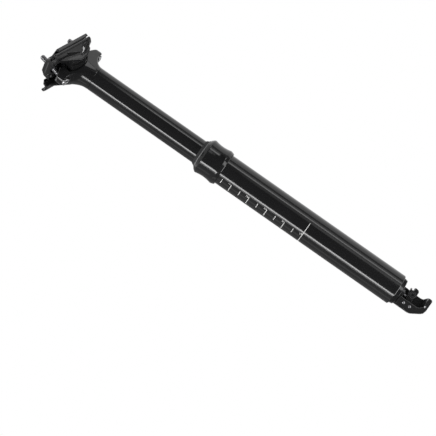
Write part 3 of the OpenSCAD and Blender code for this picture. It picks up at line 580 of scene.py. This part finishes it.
def dull_skin(name, colour, pale, rough, grain, depth):
    """A soft dull surface with an even fine grain."""
    material, tree, shader = new_finish(name)
    shader.inputs["Specular IOR Level"].default_value = 0.25
    place = named_node(tree, "ShaderNodeTexCoord")
    noise = named_node(tree, "ShaderNodeTexNoise", {"Scale": 1 / grain, "Detail": 4.0})
    speck = noise.outputs["Fac"]
    bump = named_node(tree, "ShaderNodeBump", {"Strength": 0.7, "Distance": depth})
    edges = place_group(tree, soft_edge, Radius=0.0003)
    wire(
        tree,
        (place.outputs["Object"], noise.inputs["Vector"]),
        (speck, bump.inputs["Height"]),
        (edges.outputs["Normal"], bump.inputs["Normal"]),
        (bump.outputs["Normal"], shader.inputs["Normal"]),
        (mixed_colour(tree, speck, colour, pale), shader.inputs["Base Color"]),
        (ranged(tree, speck, *rough), shader.inputs["Roughness"]),
    )
    return material


def dress(material, *names):
    """Gives CAD pieces a finish."""
    for name in names:
        slots = nodes[name].data.materials
        slots.clear()
        slots.append(material)


rubber = dull_skin(
    "rubber", (0.018, 0.018, 0.019), (0.034, 0.034, 0.035), (0.55, 0.75), seal_grain, seal_depth
)
# The pale rim rubber: partly rubbing, partly a painted highlight along the wiper's top edge.
rim_wear_and_highlight = dull_skin(
    "rim_wear_and_highlight", (0.14, 0.14, 0.142), (0.19, 0.19, 0.192), (0.5, 0.7), seal_grain, seal_depth
)
felt = dull_skin("felt", (0.20, 0.18, 0.15), (0.42, 0.39, 0.34), (0.85, 1.0), grain=0.0012, depth=0.0002)
wiper_outline = eased(
    [(throat_r, throat_z, 0), (mouth_r - collar_fit, throat_z, 0), (mouth_r - collar_fit, mouth_z, 0)]
    + [(wiper_rim_r + 0.02, mouth_z, 0.08), (wiper_rim_r, wiper_rim_z, 0.2)]
    + wiper_slope
    + [(wiper_lip_r + 0.25, wiper_top_z, 0.1), (wiper_lip_r, wiper_top_z, 0.1)]
    + [(wiper_lip_r, wiper_top_z - 1.0, 0.1), (throat_r, wiper_top_z - 2.0, 0)]
)
wiper_piece = turned("wiper_moulded", wiper_outline)
wiper_piece.data.materials.append(rubber)
wiper_piece.data.materials.append(rim_wear_and_highlight)
# Faces of the rim get the pale rubber, which holds a painted highlight.
for face in wiper_piece.data.polygons:
    if face.center.z > mouth_z * mm and face.center.xy.length > highlight_rim_r * mm:
        face.material_index = 1
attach(wiper_piece, "lower_tube")
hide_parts("wiper_seal")
dress(rubber, "base_o_ring", "bottom_bumper", "topout_bumper")
dress(felt, "foam_ring")

# Bushings
# Split sleeves of bearing plastic between the tubes. The upper one sits in the mouth of the outer
# tube, and the lower one on the foot of the stanchion.
bushing = dull_skin(
    "bushing", (0.10, 0.10, 0.085), (0.16, 0.155, 0.13), (0.35, 0.5), grain=0.0008, depth=0.00001
)
dress(bushing, "upper_bushing", "lower_bushing")

# Stanchion
# Aluminium inner tube that slides in the bushings and carries the head. It is ground, so smoother
# than the outer tube, and hard anodised.
stanchion_black = turned_metal(
    "stanchion_black",
    anodised,
    anodised_smudge,
    (0.08, 0.12),
    pitch=0.0003,
    depth=0.0000003,
    edge=0,
)
dress(stanchion_black, "stanchion")

# Guide keys
# Turned brass pins that sit in the stanchion's pockets and run in the outer tube's grooves, so that
# the two can't turn.
brass = turned_metal("brass", (0.62, 0.43, 0.16), (0.78, 0.60, 0.30), (0.22, 0.34), metallic=1.0)
dress(brass, "guide_keys")

# Cartridge
# Gas cartridge inside the stanchion: an aluminium cylinder with its gland, piston and nut, and a
# chromed rod whose colour is black below a set height at its foot, where it comes out of the base cap.
rod_black_z = -0.2035
rod_black = (0.03, 0.03, 0.032)
bare_aluminium = turned_metal(
    "bare_aluminium", (0.62, 0.63, 0.65), (0.78, 0.79, 0.80), (0.25, 0.38), metallic=1.0
)
chromed_rod = turned_metal(
    "chromed_rod", (0.66, 0.67, 0.69), (0.80, 0.80, 0.82), (0.06, 0.12), metallic=1.0, depth=0.0000005
)
rod_tree = chromed_rod.node_tree
rod_base = rod_tree.nodes["Principled BSDF"].inputs["Base Color"]
rod_chrome = rod_base.links[0].from_socket
rod_place = named_node(rod_tree, "ShaderNodeTexCoord")
rod_height = named_node(rod_tree, "ShaderNodeSeparateXYZ")
rod_foot = named_node(rod_tree, "ShaderNodeMath", {1: rod_black_z}, operation="LESS_THAN")
wire(
    rod_tree,
    (rod_place.outputs["Object"], rod_height.inputs["Vector"]),
    (rod_height.outputs["Z"], rod_foot.inputs[0]),
    (mixed_colour(rod_tree, rod_foot.outputs[0], rod_chrome, rod_black), rod_base),
)
dress(bare_aluminium, "cartridge_body", "cartridge_gland", "piston", "cartridge_nut")
dress(chromed_rod, "cartridge_rod")

# Head and saddle clamp
# Forged aluminium head, lower cradle and top clamp, blasted and anodised satin black. The underside
# of the cradle's drum has painted shade: a darker, duller black. Handling has rubbed the edges a little.
clamp_axis = (-0.0017, 0, 0.182)
clamp_lean_deg = 15
clamp_place = Matrix.Translation(clamp_axis) @ Matrix.Rotation(math.radians(clamp_lean_deg), 4, "Y")
clamp_grain = 0.00035
drum_half_w, drum_r, drum_top = 0.0169, 0.015, -0.003

blasted, blasted_in, blasted_out = new_group(
    "blasted", [("Grain", 0.00025)], [("Height", "NodeSocketFloat"), ("Tone", "NodeSocketFloat")]
)
blasted_place = named_node(blasted, "ShaderNodeTexCoord")
blasted_rate = named_node(blasted, "ShaderNodeMath", {0: 1.0}, operation="DIVIDE")
blasted_grain = named_node(blasted, "ShaderNodeTexNoise", {"Detail": 2.0})
blasted_tone = named_node(blasted, "ShaderNodeTexNoise", {"Scale": 90.0, "Detail": 3.0})
wire(
    blasted,
    (blasted_in.outputs["Grain"], blasted_rate.inputs[1]),
    (blasted_rate.outputs[0], blasted_grain.inputs["Scale"]),
    (blasted_place.outputs["Object"], blasted_grain.inputs["Vector"]),
    (blasted_place.outputs["Object"], blasted_tone.inputs["Vector"]),
    (blasted_grain.outputs["Fac"], blasted_out.inputs["Height"]),
    (blasted_tone.outputs["Fac"], blasted_out.inputs["Tone"]),
)


def blasted_metal(name, colour, wear_and_sheen, gloss, grain=0.00025, depth=0.00001, edge=0.0006):
    """A blasted surface: even grain, and softly rounded edges in a paler colour: a little rubbing, and
    with some finishes a painted highlight.
    """
    material, tree, shader = new_finish(name)
    skin = place_group(tree, blasted, Grain=grain)
    edges = place_group(tree, soft_edge, Radius=edge)
    bump = named_node(tree, "ShaderNodeBump", {"Strength": 0.5, "Distance": depth})
    wire(
        tree,
        (skin.outputs["Height"], bump.inputs["Height"]),
        (edges.outputs["Normal"], bump.inputs["Normal"]),
        (bump.outputs["Normal"], shader.inputs["Normal"]),
        (ranged(tree, skin.outputs["Tone"], *gloss), shader.inputs["Roughness"]),
        (mixed_colour(tree, edges.outputs["Edge"], colour, wear_and_sheen), shader.inputs["Base Color"]),
    )
    return material


def forged(node, body, finish, grain, rounds, swells=()):
    """A CAD piece with its edges rounded as dies and blasting leave them. Swells are convex lumps
    added to it, each a list of corners in millimetres from the clamp's axis, leaning with it."""
    work = bmesh.new()
    work.from_mesh(nodes[node].data)
    bmesh.ops.remove_doubles(work, verts=work.verts, dist=1e-7)
    for swell in swells:
        corners = [work.verts.new(clamp_place @ (Vector(spot) * mm)) for spot in swell]
        made = bmesh.ops.convex_hull(work, input=corners)
        spare = [part for part in made["geom_interior"] if isinstance(part, bmesh.types.BMVert)]
        bmesh.ops.delete(work, geom=spare, context="VERTS")
        kept = [part for part in made["geom"] if part.is_valid]
        faces = [part for part in kept if isinstance(part, bmesh.types.BMFace)]
        bmesh.ops.recalc_face_normals(work, faces=faces)
    mesh = bpy.data.meshes.new(node + "_forged")
    work.to_mesh(mesh)
    work.free()
    piece = bpy.data.objects.new(node + "_forged", mesh)
    scene.collection.objects.link(piece)
    skin = piece.modifiers.new("skin", "REMESH")
    skin.mode = "VOXEL"
    skin.voxel_size = grain
    skin.use_smooth_shade = True
    ease = piece.modifiers.new("ease", "SMOOTH")
    ease.factor = 0.5
    ease.iterations = rounds
    bpy.context.view_layer.update()
    shaped = bpy.data.meshes.new_from_object(
        piece.evaluated_get(bpy.context.evaluated_depsgraph_get())
    )
    piece.modifiers.clear()
    piece.data = shaped
    shaped.shade_smooth()
    shaped.materials.clear()
    shaped.materials.append(finish)
    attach(piece, body)
    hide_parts(node)
    return piece


def both_hands(corners):
    """A lump and its mirror image across the middle of the clamp."""
    return [[(x, hand * y, z) for x, y, z in corners] for hand in (-1, 1)]


def block(x_range, y_range, z_range):
    """The corners of a plain block."""
    return [(x, y, z) for x in x_range for y in y_range for z in z_range]


channel_gusset = [(19, 27.2, -6), (13.4, 20, -12.8), (-16, 27.2, -6), (-13, 19.8, -8.6)]
channel_gusset += [(19, 19, -7.5), (-16, 19, -7.5), (13.4, 18.5, -12.8), (-13, 18.5, -8.6)]
gusset_facet = [(4.0, 20.6, -6.5), (5.6, 20.6, -12.8), (8.0, 27.3, -7.6), (8.0, 26.0, -11.6)]
gusset_facet += [(16, 26.4, -6.9), (16, 22.8, -9.8), (14.5, 20, -11.8), (16, 20, -6.5)]
wing_lip = block((-18.6, 16.8), (25.7, 27.4), (-3.0, -1.8))
rear_skirt = block((-21.8, -19.7), (7.5, 12.4), (-4.8, -1.5))
cradle_swells = both_hands(channel_gusset) + both_hands(gusset_facet)
clamp_swells = both_hands(wing_lip) + both_hands(rear_skirt)

forged_black = blasted_metal(
    "forged_black", (0.010, 0.010, 0.0105), (0.02, 0.02, 0.021), (0.12, 0.18), depth=0.000003
)
# Painted shade: a darker, duller black for the underside of the cradle's drum, where shade falls in the
# head's trough.
drum_shade_black = blasted_metal("drum_shade_black", (0.008, 0.008, 0.0084), (0.014, 0.014, 0.0145), (0.45, 0.6))
drum_shade_black.node_tree.nodes["Principled BSDF"].inputs["Specular IOR Level"].default_value = 0.12
forged("post_head", "upper_post", forged_black, clamp_grain, rounds=24)
cradle_piece = forged(
    "lower_cradle", "saddle_clamp", forged_black, clamp_grain, 8, cradle_swells
)
forged("top_clamp", "saddle_clamp", forged_black, clamp_grain, 8, clamp_swells)
cradle_piece.data.materials.append(drum_shade_black)
to_clamp = clamp_place.inverted()
# The faces under the drum get the painted shade.
for face in cradle_piece.data.polygons:
    spot = to_clamp @ face.center
    under_drum = math.hypot(spot.x, spot.z) > drum_r and spot.z < drum_top
    if under_drum and abs(spot.y) < drum_half_w:
        face.material_index = 1

# Clamp bolts
# Steel socket bolts with cut threads, dished washers and barrel nuts that pull the top clamp onto
# the rails. The heads are knurled and plated, and the sockets are six sided.
steel = turned_metal("steel", (0.24, 0.24, 0.25), (0.50, 0.50, 0.51), (0.26, 0.38), metallic=1.0)
plated_steel = turned_metal(
    "plated_steel", (0.60, 0.60, 0.61), (0.80, 0.80, 0.81), (0.20, 0.30), metallic=1.0
)
rear_seat = Vector((-0.0215, 0, 0.1726))
front_seat = Vector((0.0221, 0, 0.1636))
rear_tip, front_tip = 13.3, 15.6


def threaded_bolt(name, node, body, seat, lean, reach):
    """A socket bolt along its own leaning axis, from the head below its seat to its threaded tip.
    Each row of its outline is (radius, height, kind), in millimetres from the seat."""
    shank_r, head_r, socket_r = 2.5, 4.25, 2.3
    head_low, head_high, socket_floor = -7.0, -3.0, -4.5
    head_ease, ease_middle = 0.45, 0.13
    rim_ease = 0.2
    knurl_rows, knurl_depth = 8, 0.14
    knurl_low, knurl_h = head_low + 0.6, head_high - head_low - 0.9
    pitch, depth, rows_per_turn = 0.8, 0.38, 6
    plain_end, tip_bevel = 4.0, 0.5
    thread_low, thread_h = plain_end + 0.1, reach - 1.2 - plain_end
    sides = 48
    rows = [(0, socket_floor, "round"), (socket_r, socket_floor, "hex")]
    rows += [(socket_r, head_low + 0.25, "hex"), (socket_r + 0.35, head_low, "round")]
    rows += [(head_r - head_ease, head_low, "round")]
    rows += [(head_r - ease_middle, head_low + ease_middle, "round")]
    rows += [(head_r, head_low + head_ease, "round")]
    for k in range(knurl_rows + 1):
        rows.append((head_r, knurl_low + knurl_h * k / knurl_rows, "knurl"))
    rows += [(head_r, head_high - rim_ease, "round"), (head_r - rim_ease, head_high, "round")]
    rows += [(shank_r + 0.25, head_high, "round"), (shank_r, head_high + 0.3, "round")]
    rows.append((shank_r, plain_end, "round"))
    steps = int((reach - 1.0 - plain_end) / pitch * rows_per_turn)
    for k in range(steps + 1):
        rows.append((shank_r, thread_low + thread_h * k / steps, "thread"))
    rows += [(shank_r - depth, reach - tip_bevel, "round")]
    rows += [(shank_r - depth - tip_bevel, reach, "round"), (0, reach, "round")]
    place = Matrix.Translation(seat) @ Matrix.Rotation(lean, 4, "Y")
    work = bmesh.new()
    rings = []
    for i in range(sides):
        turn = 2 * math.pi * i / sides
        ring = []
        for radius, height, kind in rows:
            if kind == "hex":
                radius *= math.cos(math.pi / 6) / math.cos(turn % (math.pi / 3) - math.pi / 6)
            if kind == "thread":
                part = (height / pitch - i / sides) % 1
                radius -= depth * abs(2 * part - 1)
            if kind == "knurl" and i % 2:
                radius -= knurl_depth
            spot = Vector((radius * math.cos(turn), radius * math.sin(turn), height)) * mm
            ring.append(work.verts.new(place @ spot))
        rings.append(ring)
    for left, right in zip(rings, rings[1:] + rings[:1]):
        for k in range(len(rows) - 1):
            face = work.faces.new((left[k], right[k], right[k + 1], left[k + 1]))
            face.material_index = 1 if rows[k + 1][1] < head_high else 0
    piece = finished(name, work, sharp_deg=40)
    piece.data.materials.append(steel)
    piece.data.materials.append(plated_steel)
    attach(piece, body)
    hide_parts(node)


for end, seat, tip in (("rear", rear_seat, rear_tip), ("front", front_seat, front_tip)):
    nut_low, nut_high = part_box(end + "_barrel_nut")
    to_nut = (nut_low + nut_high) / 2 - seat
    threaded_bolt(
        end + "_bolt_threaded",
        end + "_bolt",
        end + "_bolt_set",
        seat,
        lean=math.atan2(to_nut.x, to_nut.z),
        reach=to_nut.length / mm + tip,
    )
dress(steel, "rear_washer", "front_washer", "rear_barrel_nut", "front_barrel_nut")

# Base cap and hook bracket
# Plug in the foot of the outer tube and the hook bracket on it, both blasted and anodised black.
# Bright rivets hold the bracket. Its set screw is bright too, and the rod's nut and the lever's
# pivot bolt are black.
# Painted highlight: the pale edge colour of the bracket and the lever stands mostly for light caught on
# their edges, with a little rubbing.
base_black = blasted_metal(
    "base_black", (0.014, 0.014, 0.0145), (0.20, 0.20, 0.206), (0.24, 0.34), edge=0.0008
)
cap_black = blasted_metal(
    "cap_black", (0.010, 0.010, 0.0105), (0.06, 0.06, 0.062), (0.13, 0.20), depth=0.000003, edge=0.0005
)
bright_steel = turned_metal(
    "bright_steel", (0.70, 0.70, 0.72), (0.85, 0.85, 0.86), (0.28, 0.4), metallic=1.0
)
black_steel = turned_metal("black_steel", (0.018, 0.018, 0.019), (0.08, 0.08, 0.083), (0.28, 0.4))
cap_grain = 0.00028
hook_grain = 0.00022
forged("base_cap", "lower_tube", cap_black, cap_grain, rounds=4)
forged("hook_bracket", "lower_tube", base_black, hook_grain, rounds=5)
dress(bright_steel, "bracket_rivets", "bracket_set_screw")
dress(black_steel, "rod_nut", "pivot_bolt")

# Release lever and valve pin
# Cam lever that turns on the pivot bolt in the hook bracket, finished like it, and the steel pin
# that it pushes up through the cartridge rod.
forged("release_lever", "lever", base_black, hook_grain, rounds=6)
dress(steel, "valve_pin")
